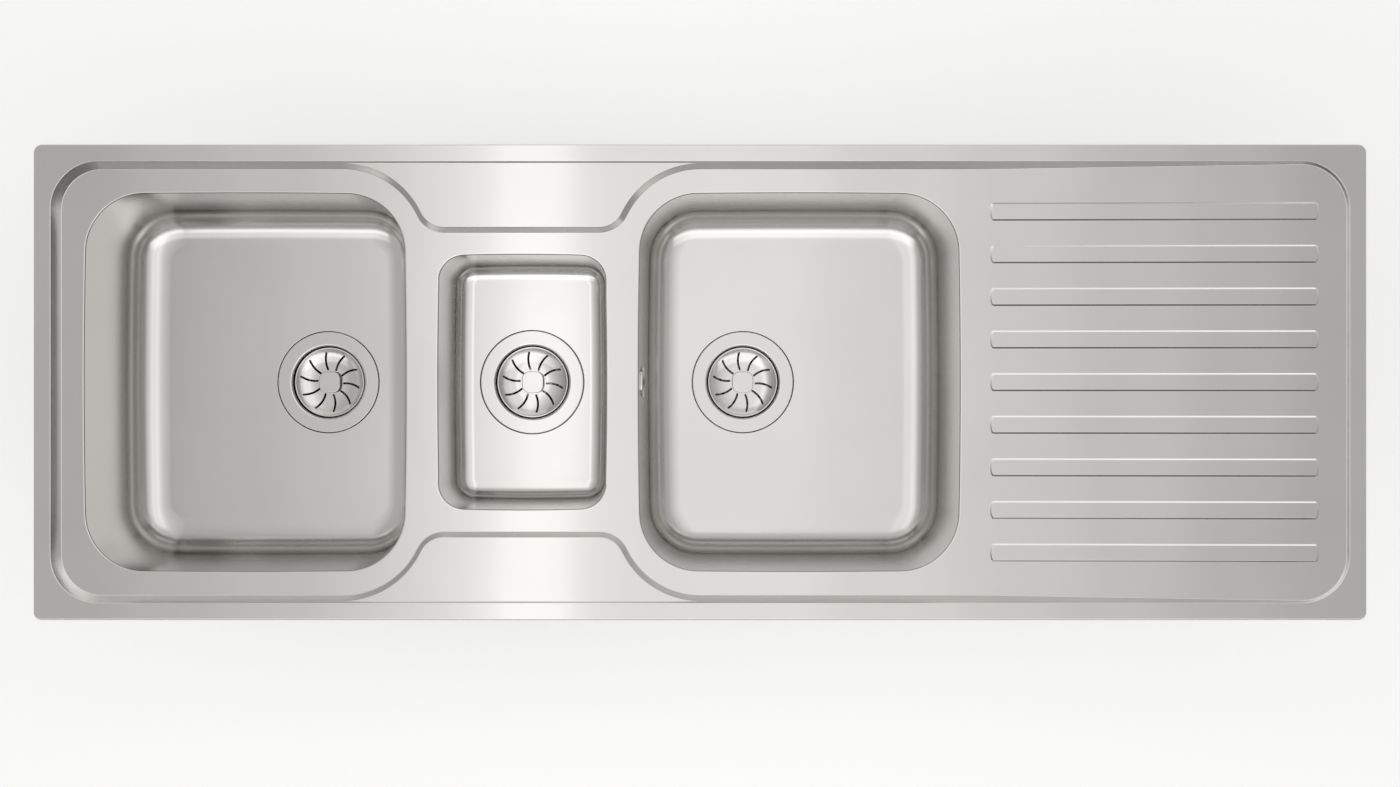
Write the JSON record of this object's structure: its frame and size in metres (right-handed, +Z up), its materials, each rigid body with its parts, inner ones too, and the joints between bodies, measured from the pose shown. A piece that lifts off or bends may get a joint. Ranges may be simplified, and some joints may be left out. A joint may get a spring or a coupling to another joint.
{
  "type": "inset kitchen sink",
  "caption": "Inset stainless steel kitchen sink with two main bowls, a half bowl between them, a ribbed drainer, lift-out basket strainers, overflows and worktop clips.",
  "frame": {"origin": "centre of the worktop cut-out, in the plane of the worktop's top face, which is also the middle of the sink's outline", "axes": "+X along the sink towards the drainer, +Y to the back, +Z up"},
  "size_m": [1.4, 0.5, 0.253],
  "materials": {
    "sink_steel": "satin, finely brushed",
    "fitting_steel": "polished",
    "zinc_plate": "zinc plated",
    "rubber": "matt",
    "foam": "closed-cell foam",
    "damping_pad": "matt bitumen sheet",
    "plastic": "moulded",
    "hose_plastic": "ribbed hose"
  },
  "bodies": {
    "sink": {"centre_body_seal": "rubber", "centre_bowl": "sink_steel", "centre_cup_gasket": "rubber", "centre_fixing_screw": "fitting_steel", "centre_sound_pads": "damping_pad", "centre_strainer_cup": "fitting_steel", "centre_waste_body": "plastic", "clip_brackets": "zinc_plate", "left_body_seal": "rubber", "left_bowl": "sink_steel", "left_cup_gasket": "rubber", "left_fixing_screw": "fitting_steel", "left_overflow_box": "plastic", "left_overflow_hose": "hose_plastic", "left_overflow_rosette": "fitting_steel", "left_overflow_seal": "rubber", "left_sound_pad": "damping_pad", "left_strainer_cup": "fitting_steel", "left_waste_body": "plastic", "right_body_seal": "rubber", "right_bowl": "sink_steel", "right_cup_gasket": "rubber", "right_fixing_screw": "fitting_steel", "right_overflow_box": "plastic", "right_overflow_hose": "hose_plastic", "right_overflow_rosette": "fitting_steel", "right_overflow_seal": "rubber", "right_sound_pad": "damping_pad", "right_strainer_cup": "fitting_steel", "right_waste_body": "plastic", "rim_seal": "foam", "sink_top": "sink_steel"},
    "left_basket": {"left_basket": "fitting_steel", "left_basket_knob": "fitting_steel", "left_basket_seal": "rubber"},
    "centre_basket": {"centre_basket": "fitting_steel", "centre_basket_knob": "fitting_steel", "centre_basket_seal": "rubber"},
    "right_basket": {"right_basket": "fitting_steel", "right_basket_knob": "fitting_steel", "right_basket_seal": "rubber"},
    "clip_screw_1": {"clip_screw_1": "zinc_plate"},
    "clip_claw_1": {"clip_claw_1": "zinc_plate"},
    "clip_screw_2": {"clip_screw_2": "zinc_plate"},
    "clip_claw_2": {"clip_claw_2": "zinc_plate"},
    "clip_screw_3": {"clip_screw_3": "zinc_plate"},
    "clip_claw_3": {"clip_claw_3": "zinc_plate"},
    "clip_screw_4": {"clip_screw_4": "zinc_plate"},
    "clip_claw_4": {"clip_claw_4": "zinc_plate"},
    "clip_screw_5": {"clip_screw_5": "zinc_plate"},
    "clip_claw_5": {"clip_claw_5": "zinc_plate"},
    "clip_screw_6": {"clip_screw_6": "zinc_plate"},
    "clip_claw_6": {"clip_claw_6": "zinc_plate"},
    "clip_screw_7": {"clip_screw_7": "zinc_plate"},
    "clip_claw_7": {"clip_claw_7": "zinc_plate"},
    "clip_screw_8": {"clip_screw_8": "zinc_plate"},
    "clip_claw_8": {"clip_claw_8": "zinc_plate"}
  },
  "joints": [
    {"name": "left_basket_lift", "type": "slide", "parent": "sink", "child": "left_basket", "axis": [0, 0, 1], "range_m": [0, 0.205]},
    {"name": "centre_basket_lift", "type": "slide", "parent": "sink", "child": "centre_basket", "axis": [0, 0, 1], "range_m": [0, 0.165]},
    {"name": "right_basket_lift", "type": "slide", "parent": "sink", "child": "right_basket", "axis": [0, 0, 1], "range_m": [0, 0.205]},
    {"name": "clip_1_tighten", "type": "slide", "parent": "sink", "child": "clip_screw_1", "axis": [0, 0, 1], "range_m": [0, 0.014]},
    {"name": "clip_1_swing", "type": "hinge", "parent": "clip_screw_1", "child": "clip_claw_1", "pos_m": [-0.56, 0.213, -0.0623], "axis": [0, 0, 1], "range_deg": [0, 90]},
    {"name": "clip_2_tighten", "type": "slide", "parent": "sink", "child": "clip_screw_2", "axis": [0, 0, 1], "range_m": [0, 0.014]},
    {"name": "clip_2_swing", "type": "hinge", "parent": "clip_screw_2", "child": "clip_claw_2", "pos_m": [0.19, 0.213, -0.0623], "axis": [0, 0, 1], "range_deg": [0, 90]},
    {"name": "clip_3_tighten", "type": "slide", "parent": "sink", "child": "clip_screw_3", "axis": [0, 0, 1], "range_m": [0, 0.014]},
    {"name": "clip_3_swing", "type": "hinge", "parent": "clip_screw_3", "child": "clip_claw_3", "pos_m": [0.52, 0.213, -0.0623], "axis": [0, 0, 1], "range_deg": [0, 90]},
    {"name": "clip_4_tighten", "type": "slide", "parent": "sink", "child": "clip_screw_4", "axis": [0, 0, 1], "range_m": [0, 0.014]},
    {"name": "clip_4_swing", "type": "hinge", "parent": "clip_screw_4", "child": "clip_claw_4", "pos_m": [-0.56, -0.213, -0.0623], "axis": [0, 0, 1], "range_deg": [0, 90]},
    {"name": "clip_5_tighten", "type": "slide", "parent": "sink", "child": "clip_screw_5", "axis": [0, 0, 1], "range_m": [0, 0.014]},
    {"name": "clip_5_swing", "type": "hinge", "parent": "clip_screw_5", "child": "clip_claw_5", "pos_m": [0.19, -0.213, -0.0623], "axis": [0, 0, 1], "range_deg": [0, 90]},
    {"name": "clip_6_tighten", "type": "slide", "parent": "sink", "child": "clip_screw_6", "axis": [0, 0, 1], "range_m": [0, 0.014]},
    {"name": "clip_6_swing", "type": "hinge", "parent": "clip_screw_6", "child": "clip_claw_6", "pos_m": [0.52, -0.213, -0.0623], "axis": [0, 0, 1], "range_deg": [0, 90]},
    {"name": "clip_7_tighten", "type": "slide", "parent": "sink", "child": "clip_screw_7", "axis": [0, 0, 1], "range_m": [0, 0.014]},
    {"name": "clip_7_swing", "type": "hinge", "parent": "clip_screw_7", "child": "clip_claw_7", "pos_m": [-0.663, 0, -0.0623], "axis": [0, 0, 1], "range_deg": [0, 90]},
    {"name": "clip_8_tighten", "type": "slide", "parent": "sink", "child": "clip_screw_8", "axis": [0, 0, 1], "range_m": [0, 0.014]},
    {"name": "clip_8_swing", "type": "hinge", "parent": "clip_screw_8", "child": "clip_claw_8", "pos_m": [0.663, 0, -0.0623], "axis": [0, 0, 1], "range_deg": [0, 90]}
  ]
}
